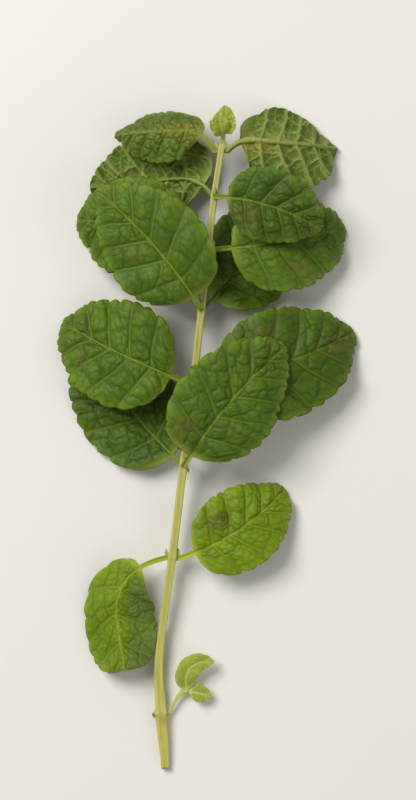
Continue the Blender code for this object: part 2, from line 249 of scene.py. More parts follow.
LEAVES = (
    # The second colour on most of this leaf's left half is painted shade.
    Leaf("leaf_1_left", (1, "left"), heading=194.4, turn=84.2, length=28.7, width=20.4,
         pitch=(27.8, -14.5, 17), rest=0.2, roll=(0, 7.8), fold=(-15, -40.5), curl=-3.6, stalk=6.7,
         bend=0.71, tip=0.34, phase=0.4, teeth=8, look="bright", puff=0.8, bruises=0, tone="half"),
    Leaf("leaf_1_right", (1, "right"), heading=22, turn=24, length=30, width=20, pitch=(20, -6, -30),
         rest=0.2, phase=1.3, look="bright"),
    Leaf("leaf_2_front", (2, "front"), heading=58, turn=-16, length=38, width=25, pitch=(38, 0, -26),
         roll=(-6, -14), phase=2.1, puff=0.9),
    Leaf("leaf_2_back", (2, "back"), heading=136, turn=-12, length=38, width=25, pitch=(-24, -10, 0),
         rest=0.4, phase=0.9, look="deep"),
    Leaf("leaf_3_left", (3, "left"), heading=158, turn=-8, length=34, width=26, pitch=(18, -10, -30),
         rest=0.2, phase=3.0),
    Leaf("leaf_3_right", (3, "right"), heading=10, turn=18, length=40, width=27, pitch=(20, -10, -30),
         rest=0.2, phase=4.2, look="deep", puff=0.7, bruises=3),
    Leaf("leaf_4_front", (4, "front"), heading=124, turn=14, length=37, width=25, pitch=(38, 0, -24),
         roll=(6, 14), phase=5.1, puff=0.7),
    Leaf("leaf_4_back", (4, "back"), heading=50, turn=-14, length=36, width=24, pitch=(-24, -10, 0),
         rest=0.4, phase=0.2, look="deep"),
    Leaf("leaf_5_left", (5, "left"), heading=160, turn=12, length=32, width=25, pitch=(18, -12, -30),
         rest=0.2, phase=1.7),
    Leaf("leaf_5_right", (5, "right"), heading=4, turn=12, length=33, width=24, pitch=(18, -12, -30),
         rest=0.2, phase=2.9, puff=0.7, bruises=2),
    Leaf("leaf_6_front", (6, "front"), heading=-6, turn=-22, length=26, width=18, pitch=(38, 0, -26),
         roll=(-4, -10), phase=3.7, look="deep"),
    Leaf("leaf_6_back", (6, "back"), heading=126, turn=60, length=30, width=24, pitch=(-22, -12, -4),
         rest=0.6, roll=(180, 180), fold=(4, 14), bend=0.4, phase=4.6, look="soft", puff=1.2),
    Leaf("leaf_7_left", (7, "left"), heading=124, turn=58, length=26, width=16.5, pitch=(26, 4, -36),
         rest=3.4, fold=(-12, -44), stalk=5, bend=0.4, phase=5.5, look="soft", puff=1.5, tone="base"),
    Leaf("leaf_7_right", (7, "right"), heading=42, turn=-46, length=28, width=25, pitch=(20, -2, -30),
         rest=0.3, roll=(180, 180), fold=(4, 52), bend=0.25, phase=0.7, look="soft", puff=1.0,
         bruises=3, tone="base"),
)

# The thin shoot at the lowest node, which begins inside the stem, and its two leaves.
SIDE_ROUTE = ((-0.4, 12.6, 1.6), (0.9, 13.9, 1.7), (2.0, 16.0, 1.9), (3.9, 18.8, 2.0), (5.2, 19.7, 2.1),
              (6.2, 19.7, 2.1))
SIDE_WIDTHS = (1.0, 0.75, 0.8, 1.2, 1.7, 1.3)
SIDE_LEAVES = (
    Leaf("side_leaf_long", (5.5, 19.5, 2.6), heading=104, turn=-112, length=12.5, width=5.5,
         pitch=(24, 6, -6), fold=(18, 18), curl=-12, stalk=0.6, wave=0.2, phase=0.5, bulge=0.25, teeth=5,
         bruises=0),
    Leaf("side_leaf_round", (5.9, 19.5, 2.5), heading=-10, turn=-8, length=5.2, width=4.4,
         pitch=(14, 4, -8), fold=(10, 10), curl=-5, stalk=0.6, wave=0.1, phase=0.5, bulge=0.15, teeth=3,
         bruises=0),
)

# The bud at the tip, which begins inside the stem, and its young leaves.
BUD_ROUTE = ((14.25, 156.0, 9.9), (14.4, 157.3, 10.0), (14.5, 158.4, 10.9), (14.6, 159.4, 12.2),
             (14.7, 160.4, 13.6))
BUD_WIDTHS = (1.0, 1.1, 1.3, 1.1, 0.5)
BUD_LEAVES = (
    Leaf("bud_leaf_front", (14.5, 158.2, 12.2), heading=112, turn=-20, length=6.8, width=4.6,
         pitch=(62, 34, 0), fold=(26, 26), curl=-8, stalk=0.4, wave=0.15, phase=0.5, bulge=0.2, teeth=4,
         bruises=0),
    Leaf("bud_leaf_back", (14.5, 158.6, 10.6), heading=78, turn=16, length=7.0, width=5.0,
         pitch=(14, 22, 0), fold=(22, 22), curl=-8, stalk=0.4, wave=0.15, phase=1.5, bulge=0.2, teeth=4,
         bruises=0),
    Leaf("bud_leaf_left", (14.3, 159.0, 12.2), heading=150, turn=-20, length=4.6, width=3.2,
         pitch=(50, 40, 10), fold=(24, 24), curl=-5, stalk=0.4, wave=0.1, bulge=0.15, teeth=3, bruises=0),
    Leaf("bud_leaf_right", (14.8, 159.0, 12.2), heading=34, turn=24, length=4.4, width=3.2,
         pitch=(50, 44, 14), fold=(24, 24), curl=-5, stalk=0.4, wave=0.1, phase=2.0, bulge=0.15, teeth=3,
         bruises=0),
)


@dataclass
class Look:
    """Colours of a leaf, as they are in the render: both faces, their darker patches and their veins, a
    painted shade for the sunken veins above, and a second colour, painted shade on a half leaf and
    a tan tint at its base.
    """

    upper: tuple
    upper_dark: tuple
    painted_groove_shade: tuple
    rib: tuple
    margin: tuple
    tone: tuple = (168, 140, 56)
    under: tuple = (98, 121, 37)
    under_dark: tuple = (69, 93, 15)
    under_vein: tuple = (152, 167, 82)


LOOKS = {
    # The last colour of the bright look is painted shade, which leaf_1_left has on most of its left half.
    "bright": Look((124, 150, 12), (98, 126, 2), (78, 102, 2), (172, 182, 56), (140, 162, 22),
                   (106, 127, 58)),
    "green": Look((92, 122, 12), (66, 96, 2), (46, 72, 2), (148, 164, 58), (120, 144, 28)),
    "deep": Look((82, 112, 12), (58, 86, 2), (40, 62, 2), (136, 152, 54), (108, 132, 28)),
    "soft": Look((106, 130, 40), (76, 102, 12), (52, 76, 4), (150, 164, 74), (130, 150, 54)),
    "young": Look((176, 184, 72), (154, 166, 48), (134, 150, 40), (204, 206, 122), (184, 192, 88),
                  under=(178, 186, 92), under_dark=(158, 168, 66), under_vein=(206, 210, 138)),
}
BRUISE = (96, 98, 30)
BRUISE_CORE = (66, 62, 18)

STEM_LOW = (192, 186, 86)
STEM_HIGH = (184, 178, 98)
STEM_RIDGE = (208, 204, 128)
STEM_SHADE = (148, 146, 54)
STEM_BLUSH = (172, 136, 84)
STEM_RING = (158, 164, 78)
STEM_SCAR = (74, 60, 22)
CUT_FACE = (222, 214, 168)
FLOOR = (236, 232, 224)

# How rough the leaves are, from their glossiest to their dullest spots, and the stem; how high the small
# relief of their skins is, in millimetres; the lamps, each with its place and its size in metres and
# its power; and the light of the surround.
LEAF_ROUGHNESS = (0.4, 0.62)
STEM_ROUGHNESS = 0.46
LEAF_RELIEF = 0.36
STEM_RELIEF = 0.15
KEY_LIGHT = ((-0.55, 0.5, 0.95), 0.6, 12.1)
FILL_LIGHT = ((0.9, -0.5, 0.8), 0.9, 2.9)
SURROUND_LIGHT = 0.3

# The values kept at the points of every piece, for the materials.
VALUES = ("vein", "net", "tint", "edge", "under", "mark", "tone", "along")


class Surface:
    """The points, faces and values of one piece, gathered until it is made."""

    def __init__(self):
        self.points = []
        self.faces = []
        self.values = {name: [] for name in VALUES}
        self.count = 0

    def add(self, points, faces, **values):
        """Add points with faces among them. A value left out is 0 there."""
        self.points.append(points)
        self.faces.append(np.asarray(faces) + self.count)
        for name in VALUES:
            given = np.broadcast_to(np.asarray(values.get(name, 0.0), float), (len(points),))
            self.values[name].append(given)
        self.count += len(points)


def ease(x):
    """0 to 1 with a soft start and end."""
    x = np.clip(x, 0.0, 1.0)
    return x * x * (3.0 - 2.0 * x)


def bump(x, width):
    """1 where x is 0, falling off smoothly over the width."""
    return np.exp(-(x / width) ** 2)


def find_origin():
    """The sprig's own origin in the frame, in millimetres: the middle of the cut end, on the surface."""
    points = np.array([vert.co[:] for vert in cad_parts["main_stem"].data.vertices]) / MM
    end = points[points[:, 1] < points[:, 1].min() + 0.5]
    ring = np.unique(np.round(end, 3), axis=0)
    return np.array((ring[:, 0].mean(), ring[:, 1].mean(), 0.0))


def smooth_route(route, along):
    """Read the columns of a route at a distance along it, on one smooth curve."""
    knots = np.array(route)
    slopes = np.gradient(knots[:, 1:], knots[:, 0], axis=0)
    i = int(np.clip(np.searchsorted(knots[:, 0], along) - 1, 0, len(knots) - 2))
    span = knots[i + 1, 0] - knots[i, 0]
    t = (along - knots[i, 0]) / span
    rise = ease(t)
    start_pull = t * (1.0 - t) ** 2 * span * slopes[i]
    end_pull = t * t * (1.0 - t) * span * slopes[i + 1]
    return knots[i, 1:] * (1.0 - rise) + knots[i + 1, 1:] * rise + start_pull - end_pull


def stem_centre(along):
    """The middle of the stem at a distance from its cut end, and its width there."""
    across, height, width = smooth_route(STEM_ROUTE, along)
    swell = sum(math.exp(-((along - node) / NODE_LENGTH) ** 2) for node in NODES)
    return np.array((across, along, height)), width * (1.0 + NODE_SWELL * swell)


def outline(t, tip):
    """Half width of a blade along its length, 1 at its widest; a low tip value makes a blunt tip."""
    t = np.clip(t, 0.0, 1.0)
    widest = BASE_ROUND / (BASE_ROUND + tip)
    full = widest ** BASE_ROUND * (1.0 - widest) ** tip
    return t ** BASE_ROUND * (1.0 - t) ** tip / full


def leaf_frame(leaf, f):
    """Tangent, right and up directions at the fractions f of stalk and blade together."""
    heading = np.radians(leaf.heading + leaf.turn * ease(f / leaf.bend))
    first, middle, last = leaf.pitch
    pitch = first + (middle - first) * ease(2.0 * f) + (last - middle) * ease(2.0 * f - 1.0)
    pitch = np.radians(pitch + leaf.droop * f)
    roll = np.radians(leaf.roll[0] + (leaf.roll[1] - leaf.roll[0]) * f)
    flat = np.zeros_like(f)
    ahead = np.cos(pitch)
    tangent = np.stack((ahead * np.cos(heading), ahead * np.sin(heading), np.sin(pitch)), -1)
    level = np.stack((np.sin(heading), -np.cos(heading), flat), -1)
    upright = np.cross(level, tangent)
    c = np.cos(roll)[..., None]
    s = np.sin(roll)[..., None]
    return tangent, level * c + upright * s, upright * c - level * s


def underside_up(leaf):
    """Whether the leaf is turned over, so that it thickens upwards."""
    return leaf.roll[0] > 90.0


def leaf_start(leaf):
    """Where the stalk's upper face begins, just clear of the stem, and where its root is inside it."""
    if len(leaf.start) == 3:
        return np.array(leaf.start), None
    node, side = leaf.start
    centre, width = stem_centre(NODES[node])
    reach = width / 2.0 + GAP + RIB_THICK / 2.0
    way = np.array(SIDES[side])
    face = -RIB_THICK / 2.0 if underside_up(leaf) else RIB_THICK / 2.0
    lift = np.array((0.0, 0.0, face))
    return centre + way * reach + lift, centre + way * width / 4.0 + lift


def midline(leaf, f):
    """Points of the midline of the upper face, at fractions f; below 0 they run back to the root."""
    start, root = leaf_start(leaf)
    total = leaf.stalk + leaf.length
    middles = (np.arange(PATH_STEPS) + 0.5) / PATH_STEPS
    tangents = leaf_frame(leaf, middles)[0]
    path = np.vstack((np.zeros(3), np.cumsum(tangents * total / PATH_STEPS, axis=0))) + start
    knots = np.arange(PATH_STEPS + 1) / PATH_STEPS
    points = np.stack([np.interp(f, knots, path[:, k]) for k in range(3)], -1)
    if root is None:
        return points
    t = np.clip(1.0 + f, 0.0, 1.0)[..., None]
    middle = start - tangents[0] * 0.5 * np.linalg.norm(start - root)
    neck = root * (1.0 - t) ** 2 + middle * 2.0 * t * (1.0 - t) + start * t * t
    return np.where(f[..., None] < 0.0, neck, points)


def blade_points(leaf, f, v, half, height):
    """Points of the upper face, with the half width at each and its height over the flat blade."""
    total = leaf.stalk + leaf.length
    inside = np.maximum(f, 0.0)
    _, right, up = leaf_frame(leaf, inside)
    fold = np.where(v < 0.0, leaf.fold[0], leaf.fold[1])
    opened = ease(inside * total / leaf.stalk / 2.0)
    lean = np.radians(fold + leaf.curl * np.abs(v)) * opened
    across = np.sign(v) * half * np.cos(lean)
    above = half * np.sin(lean) + height
    return midline(leaf, f) + right * across[..., None] + up * above[..., None]


def tooth_profile(leaf, u, v):
    """-1 in the notches of the margin and 1 at the points of the teeth, which lean to the tip.

    The teeth are of unlike depth, some hardly there, by a rule that goes by their place.
    """
    peak = (1.0 + TOOTH_LEAN) / 2.0
    phase = (u * leaf.teeth) % 1.0
    t = np.where(phase < peak, phase / peak, (1.0 - phase) / (1.0 - peak))
    number = np.floor(u * leaf.teeth) * np.sign(v)
    notch = NOTCH + NOTCH_CHANGE * np.sin(2.4 * number + 7.0 * leaf.phase)
    return 1.0 - notch * (1.0 - 0.5 * t - 0.5 * np.sin(math.pi / 2.0 * t))


def blade_shape(leaf, u, v):
    """Fraction along, half width and height of the blade, as in its solid, and its margin's half width."""
    side = np.abs(v)
    lean = VEIN_LEAN * u * (1.0 - u)
    f = (leaf.stalk + (u + lean * side) * leaf.length) / (leaf.stalk + leaf.length)
    margin = outline(u + lean, leaf.tip) * leaf.width / 2.0
    tooth = TOOTH_DEPTH * leaf.width / 2.0 * tooth_profile(leaf, u, v) * side ** 8
    stalk_half = STALK_WIDTH / 2.0 * np.sqrt(1.0 - u)
    half = side * np.maximum(margin, stalk_half) + tooth * ease(margin / STALK_WIDTH)
    swell = 0.5 - 0.5 * np.cos(math.pi * leaf.teeth * u)
    fade = np.minimum(margin / (leaf.width / 4.0), 1.0)
    height = leaf.bulge * swell * np.sin(math.pi * side) ** SWELL_POWER * fade
    height = height + leaf.wave * side ** 2 * np.sin(2.0 * math.pi * WAVES * u + leaf.phase + v) * fade
    return f, half, height, margin


def settle(leaf):
    """Bend a leaf down or up until its lowest point is as high as it rests, as in its solid."""
    u, v = np.meshgrid(np.linspace(0.0, 1.0, 2 * leaf.teeth + 1), np.linspace(-1.0, 1.0, 7), indexing="ij")
    f, half, height, _ = blade_shape(leaf, u, v)
    below = 0.0 if underside_up(leaf) else SOLID_BLADE
    low, high = -DROOP_LIMIT, DROOP_LIMIT
    for _ in range(DROOP_STEPS):
        leaf.droop = (low + high) / 2.0
        points = blade_points(leaf, f, v, half, height)
        if points[..., 2].min() - below > leaf.rest:
            high = leaf.droop
        else:
            low = leaf.droop


def vein_cells(leaf, x, y, cell, rng):
    """Distance of each point of the flat blade to the nearest edge of a cell, and a value for each cell.

    The cells stand in rows between the side veins, so many rows that they are about as long as wide,
    and here and there two are joined.
    """
    strips = leaf.teeth // 2
    rows = max(1, round(leaf.length / strips / cell))
    seeds = []
    for side in (-1.0, 1.0):
        for k in range(rows * strips):
            u = (k + 0.5) / (rows * strips)
            lean = VEIN_LEAN * u * (1.0 - u)
            margin = float(outline(u + lean, leaf.tip)) * leaf.width / 2.0
            count = max(1, round(margin / cell))
            for i in range(count):
                shift = rng.uniform(-CELL_JITTER, CELL_JITTER, 2)
                if rng.uniform() < CELLS_JOINED:
                    continue
                across = (i + 0.5 + CELL_STAGGER * (-1.0) ** k + shift[0]) / count
                along = (u + lean * across) * leaf.length + cell * shift[1]
                seeds.append((side * across * margin, along))
    seeds = np.array(seeds)
    tilt = rng.uniform(0.0, 2.0 * math.pi, 4)
    bent_x = x + CELL_BEND * np.sin(1.3 * y + tilt[0]) + FINE_CELL_BEND * np.sin(2.9 * y + tilt[1])
    bent_y = y + CELL_BEND * np.sin(1.2 * x + tilt[2]) + FINE_CELL_BEND * np.sin(3.1 * x + tilt[3])
    places = np.stack((bent_x.ravel(), bent_y.ravel()), -1)
    squares = ((places[:, None, :] - seeds[None, :, :]) ** 2).sum(-1)
    nearest = squares.argmin(1)
    gap = np.linalg.norm(seeds[nearest][:, None, :] - seeds[None, :, :], axis=-1)
    own = squares[np.arange(len(places)), nearest][:, None]
    border = np.where(gap > 0.0, (squares - own) / (2.0 * np.maximum(gap, 1e-6)), np.inf)
    values = rng.uniform(0.0, 1.0, len(seeds))[nearest]
    return border.min(1).reshape(x.shape), values.reshape(x.shape)


def lateral_distance(leaf, u, v, margin, rng):
    """Distance of each point to the nearest side vein, in millimetres."""
    veins = leaf.teeth / 2.0
    k = np.round(u * veins)
    at = k / veins
    lean = VEIN_LEAN * at * (1.0 - at)
    slope = lean * leaf.length / np.maximum(margin, 1.0)
    phase = rng.uniform(0.0, 2.0 * math.pi, int(veins) + 2)[k.astype(int)]
    sway = VEIN_SWAY * np.sin(5.0 * v + phase) * np.abs(v)
    away = np.abs((u - at) * leaf.length * (1.0 + VEIN_LEAN * (1.0 - 2.0 * u) * np.abs(v)) + sway)
    return np.where(k > 0, away / np.sqrt(1.0 + slope ** 2), np.maximum(away, 1.0))


def normals(points, up):
    """Unit normals of a grid of points, on the side that up is on."""
    along = np.gradient(points, axis=0)
    across = np.gradient(points, axis=1)
    cross = np.cross(across, along)
    size = np.linalg.norm(cross, axis=-1, keepdims=True)
    return np.where(size > 1e-9, cross / np.maximum(size, 1e-9), up)


def sheet_faces(rows, columns):
    """Faces of a closed sheet: its upper grid, its lower grid, and the rim between them."""
    upper = np.arange(rows * columns).reshape(rows, columns)
    lower = upper + rows * columns
    top = np.stack((upper[:-1, :-1], upper[:-1, 1:], upper[1:, 1:], upper[1:, :-1]), -1).reshape(-1, 4)
    bottom = np.stack((lower[:-1, :-1], lower[1:, :-1], lower[1:, 1:], lower[:-1, 1:]), -1).reshape(-1, 4)
    loop = np.concatenate((upper[:-1, 0], upper[-1, :-1], upper[:0:-1, -1], upper[0, :0:-1]))
    after = np.roll(loop, -1)
    shift = rows * columns
    rim = np.stack((loop, after, after + shift, loop + shift), -1)
    return np.concatenate((top, bottom, rim))


def fine_grid(leaf, rows, columns):
    """Fractions u along the blade and v across it, and f along the whole leaf where it isn't blade."""
    roots = np.linspace(-1.0, 0.0, ROOT_ROWS, endpoint=False) if len(leaf.start) == 2 else np.zeros(0)
    stalks = np.linspace(0.0, leaf.stalk / (leaf.stalk + leaf.length), STALK_ROWS, endpoint=False)
    before = np.concatenate((roots, stalks))
    blade = np.linspace(0.0, TIP_END, rows + 1)
    t = np.linspace(-1.0, 1.0, 2 * columns + 1)
    spread = np.sign(t) * np.abs(t) ** 1.2
    u, v = np.meshgrid(np.concatenate((np.zeros(len(before)), blade)), spread, indexing="ij")
    return u, v, before


def leaf_marks(leaf, x, y, rng):
    """How bruised the blade is at each point, from 0 to 1."""
    marks = np.zeros_like(x)
    for _ in range(leaf.bruises):
        place = rng.uniform(BRUISE_FROM, BRUISE_TO) * (leaf.width, leaf.length)
        radius = rng.uniform(*BRUISE_RADIUS)
        marks = np.maximum(marks, bump(np.hypot(x - place[0], (y - place[1]) * 0.7), radius))
    return marks


def leaf_tone_and_shade(leaf, u, v, x):
    """How much of its second colour the leaf has at each point: painted shade on the half, a tan tint at
    the base.
    """
    if leaf.tone == "half":
        return ease((-v - PAINTED_SHADE_FROM) / PAINTED_SHADE_SOFT)
    if leaf.tone == "base":
        return bump(x, TONE_ACROSS) * bump(u, TONE_ALONG)
    return np.zeros_like(x)


def add_leaf(surface, leaf, seed, rows=BLADE_ROWS, columns=COLUMNS):
    """Add one leaf to a surface: its blade with its veins, its stalk, and its root in the stem."""
    rng = np.random.default_rng(seed)
    if leaf.rest is not None:
        settle(leaf)
    u, v, before = fine_grid(leaf, rows, columns)
    f, half, height, margin = blade_shape(leaf, u, v)
    f[:len(before)] = before[:, None]
    on_blade = ease(u / OPEN_AT)
    side = np.abs(v)
    round_off = np.sin(math.pi / 2.0 * side) / np.maximum(side, 1e-6)
    half = half * (on_blade + (1.0 - on_blade) * round_off)
    x = np.sign(v) * half
    y = (u + VEIN_LEAN * u * (1.0 - u) * side) * leaf.length
    size = leaf.width / USUAL_WIDTH
    tilt = rng.uniform(0.0, 2.0 * math.pi, 3)
    crease_across = np.sin(CREASE_WAVES[0] * x / size + tilt[0])
    crease = CREASE * crease_across * np.sin(CREASE_WAVES[1] * y / size + tilt[1])
    ruffle = RUFFLE * side ** 6 * np.sin(2.0 * math.pi * RUFFLES * u + 2.0 * v + tilt[2])
    height = height + (crease + ruffle) * size * on_blade * np.minimum(margin / 3.0, 1.0)
    base = blade_points(leaf, f, v, half, height)
    normal = normals(base, leaf_frame(leaf, np.maximum(f, 0.0))[2])

    lateral = lateral_distance(leaf, u, v, margin, rng)
    border, tint = vein_cells(leaf, x, y, CELL * size, rng)
    small_border, small_tint = vein_cells(leaf, x, y, SMALL_CELL * size, rng)
    nearest = np.minimum(np.minimum(border, lateral), np.abs(x))
    small_nearest = np.minimum(small_border, nearest)
    dome = DOME * (1.0 - np.exp(-nearest / DOME_WIDTH))
    small_dome = SMALL_DOME * (1.0 - np.exp(-small_nearest / SMALL_DOME_WIDTH)) * (0.4 + 0.6 * tint)
    thin_out = (1.0 - 0.6 * side ** 6) * on_blade
    off_midrib = 1.0 - bump(x, MIDRIB_CLEAR)
    laterals = bump(lateral, VEIN_WIDTH) * (1.0 - 0.7 * side) * on_blade * off_midrib
    midrib = bump(x, VEIN_WIDTH) * (1.0 - 0.6 * u)
    swollen = (dome + small_dome) * leaf.puff - LATERAL_GROOVE * laterals
    relief = (swollen * thin_out - MIDRIB_GROOVE * midrib) * size
    upper = base + normal * relief[..., None]

    thick = MARGIN_THICK + (BLADE_THICK - MARGIN_THICK) * (1.0 - side ** 4)
    taper = u ** 0.3
    rib_half = STALK_WIDTH / 2.0 * (1.0 - RIB_NARROWS * taper)
    rib_depth = (RIB_THICK - BLADE_THICK) * (1.0 - RIB_SINKS * taper)
    rib = np.sqrt(np.clip(1.0 - (x / rib_half) ** 2, 0.0, 1.0)) * rib_depth
    net = np.maximum(bump(border, NET_WIDTH), SMALL_NET * bump(small_border, SMALL_NET_WIDTH)) * on_blade
    ridge = UNDER_LATERAL * laterals + UNDER_NET * net * thin_out * off_midrib
    depth = (thick + rib + ridge) * np.where(f < 0.0, ROOT_THICKER, 1.0)
    lower = base + normal * (relief * UNDER_SHARE - depth)[..., None]

    along_rib = bump(x, MIDRIB_COLOUR) * (1.0 - 0.5 * u)
    side_vein = 0.5 * bump(lateral, SIDE_VEIN_COLOUR) * (1.0 - 0.6 * side) * on_blade
    values = {
        "vein": np.maximum(np.maximum(along_rib, 1.0 - on_blade), side_vein),
        "net": np.maximum(net, 0.8 * bump(lateral, 0.45) * on_blade),
        "tint": 0.6 * tint + 0.4 * small_tint,
        "edge": bump((1.0 - side) * margin, PALE_MARGIN) * on_blade,
        "mark": leaf_marks(leaf, x, y, rng),
        "tone": leaf_tone_and_shade(leaf, u, v, x),
        "along": f,
    }
    doubled = {name: np.concatenate((value.ravel(), value.ravel())) for name, value in values.items()}
    doubled["under"] = np.repeat((0.0, 1.0), x.size)
    points = np.concatenate((upper.reshape(-1, 3), lower.reshape(-1, 3)))
    surface.add(points, sheet_faces(*x.shape), **doubled)


def tube_faces(rings, sides):
    """Faces of a tube of rings, whose first and last rings are so small that they close it."""
    grid = np.arange(rings * sides).reshape(rings, sides)
    around = np.roll(grid, -1, axis=1)
    walls = np.stack((grid[:-1], around[:-1], around[1:], grid[1:]), -1).reshape(-1, 4)
    half = sides // 2
    ends = []
    for ring in (grid[0], grid[-1][::-1]):
        back = ring[:half - 1:-1]
        ends.append(np.stack((ring[:half - 1], ring[1:half], back[1:half], back[:half - 1]), -1))
    return np.concatenate([walls] + ends)


def directions(centres):
    """Along, right and up directions at the points of a route, right being level."""
    tangent = np.gradient(centres, axis=0)
    tangent /= np.linalg.norm(tangent, axis=1, keepdims=True)
    right = np.cross(tangent, (0.0, 0.0, 1.0))
    right /= np.linalg.norm(right, axis=1, keepdims=True)
    return tangent, right, np.cross(right, tangent)


def square_ring(angles):
    """Distance from the middle of the stem to its surface at each angle, 1 at the faces."""
    c = np.abs(np.cos(angles))
    s = np.abs(np.sin(angles))
    square = (c ** SQUARENESS + s ** SQUARENESS) ** (-1.0 / SQUARENESS)
    return square * (1.0 - GROOVE * np.cos(2.0 * angles) ** 4)


def place_rings(centres, angles, reach):
    """The points of a tube round a route, a ring at each of its points."""
    tangent, right, up = directions(centres)
    sideways = right[:, None, :] * (np.cos(angles) * reach)[..., None]
    upwards = up[:, None, :] * (np.sin(angles) * reach)[..., None]
    return centres[:, None, :] + sideways + upwards, tangent


def add_stem(surface, seed):
    """Add the main stem, with its rings, the scar of a fallen leaf and its cut end."""
    rng = np.random.default_rng(seed)
    length = STEM_ROUTE[-1][0]
    along = np.linspace(0.0, length, int(length * RINGS_PER_MM) + 1)
    centres, widths = (np.array(column) for column in zip(*(stem_centre(y) for y in along)))
    a, y = np.meshgrid(np.arange(STEM_SIDES) / STEM_SIDES * 2.0 * math.pi, along)
    right_side = np.minimum(a, 2.0 * math.pi - a)
    from_node = y - NODES[0]
    rings = sum(bump(y - place, NODE_RING_WIDTH) for place in NODES[1:])
    low_ring = bump(from_node, LOW_RING_WIDTH)
    scar = bump(from_node, SCAR_LENGTH) * bump(a - LEFT, SCAR_SPREAD)
    ripple = sum(RIPPLE * np.sin(k * y * 0.37 + 2.0 * a * (k % 2) + phase)
                 for k, phase in enumerate(rng.uniform(0.0, 6.0, 4), 1))
    raised = NODE_RING * (rings + low_ring) + SCAR_HEIGHT * scar
    reach = square_ring(a) * widths[:, None] / 2.0 + raised + ripple
    points, tangent = place_rings(centres, a, reach)
    ragged = rng.uniform(-RAGGED, RAGGED, STEM_SIDES)
    ragged = (ragged + np.roll(ragged, 1) + np.roll(ragged, -1)) / 6.0
    points[0] -= tangent[0] * (CUT_EDGE + ragged[:, None])
    points[..., 2] = np.maximum(points[..., 2], 0.0)
    cut = []
    for share, sunk in CUT_RINGS:
        inward = tangent[0] * (sunk + rng.uniform(-CUT_ROUGH, CUT_ROUGH))
        cut.append(centres[0] + (points[0] - centres[0]) * share + inward)
    tip = [centres[-1] + (points[-1] - centres[-1]) * share + tangent[-1] * TIP_ROUND * (1.0 - share)
           for share in TIP_RINGS]
    stack = np.concatenate((cut, points, tip))

    def whole(value, at_cut=0.0):
        """A value of the rings of the stem, with one for the cut end and none for the tip."""
        before = np.full((len(cut), STEM_SIDES), at_cut)
        return np.concatenate((before, value, np.zeros((len(tip), STEM_SIDES)))).ravel()

    brown = np.maximum(scar, 0.95 * bump(from_node, 0.6) * bump(a - LEFT, 0.95))
    brown = np.maximum(brown, 0.9 * bump(from_node, 0.22) * bump(right_side - 0.5, 0.6))
    brown = np.maximum(brown, 0.5 * bump(y, 0.3))
    blush = bump(a - LEFT, 0.75) * (0.5 + 0.5 * np.sin(0.11 * y + 0.5) ** 2)
    blush = np.maximum(blush, 1.3 * bump(from_node + 1.3, 1.3) * bump(right_side - 1.2, 0.7))
    surface.add(stack.reshape(-1, 3), tube_faces(*stack.shape[:2]), edge=whole(np.sin(2.0 * a) ** 4),
                under=whole(np.zeros_like(a), 1.0), mark=whole(brown, 0.1), net=whole(rings),
                tint=whole(blush), along=whole(y / length))


def add_stalk(surface, points, widths, **values):
    """Add a thin square stalk or a small bud along a smooth route."""
    points = np.array(points, float)
    lengths = np.concatenate(((0.0,), np.cumsum(np.linalg.norm(np.diff(points, axis=0), axis=1))))
    table = np.column_stack((lengths, points, widths))
    along = np.linspace(0.0, lengths[-1], int(lengths[-1] * 4.0) + 4)
    read = np.array([smooth_route(table, s) for s in along])
    angles = np.arange(SHOOT_SIDES) / SHOOT_SIDES * 2.0 * math.pi
    ends = np.concatenate((STALK_ENDS[:1], np.ones(len(along) - 2), STALK_ENDS[1:]))
    reach = square_ring(angles)[None, :] * (read[:, 3] * ends)[:, None] / 2.0
    stack, _ = place_rings(read[:, :3], angles[None, :], reach)
    surface.add(stack.reshape(-1, 3), tube_faces(*stack.shape[:2]),
                along=np.repeat(along / lengths[-1], SHOOT_SIDES), **values)


def add_buds(surface):
    """Add the small buds in the angles between the leaves and the stem."""
    for leaf in LEAVES:
        node, side = leaf.start
        way = np.array(SIDES[side])
        centre, width = stem_centre(NODES[node])
        route = [centre + way * (width / 2.0 + out) + np.array((0.0, ahead, 0.0))
                 for ahead, out in BUD_STEPS]
        add_stalk(surface, route, BUD_THICK, net=1.0)


def make_piece(name, surface, material, origin):
    """Make a surface into an object in the frame's place, which stands for its solid."""
    mesh = bpy.data.meshes.new(name)
    points = (np.concatenate(surface.points) + origin) * MM
    faces = np.concatenate(surface.faces)
    mesh.from_pydata(points.tolist(), [], faces.tolist())
    for value_name, parts in surface.values.items():
        layer = mesh.attributes.new(value_name, "FLOAT", "POINT")
        layer.data.foreach_set("value", np.concatenate(parts).astype(np.float32))
    mesh.shade_smooth()
    mesh.materials.append(material)
    piece = bpy.data.objects.new(name + "_fine", mesh)
    bpy.context.scene.collection.objects.link(piece)
    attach(piece, "root")
    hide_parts(name)
    return piece


def linear(colour):
    """A colour counted to 255 as it is seen, as the scene's own values."""
    share = np.array(colour, float) / 255.0
    return tuple(np.where(share <= 0.04045, share / 12.92, ((share + 0.055) / 1.055) ** 2.4))


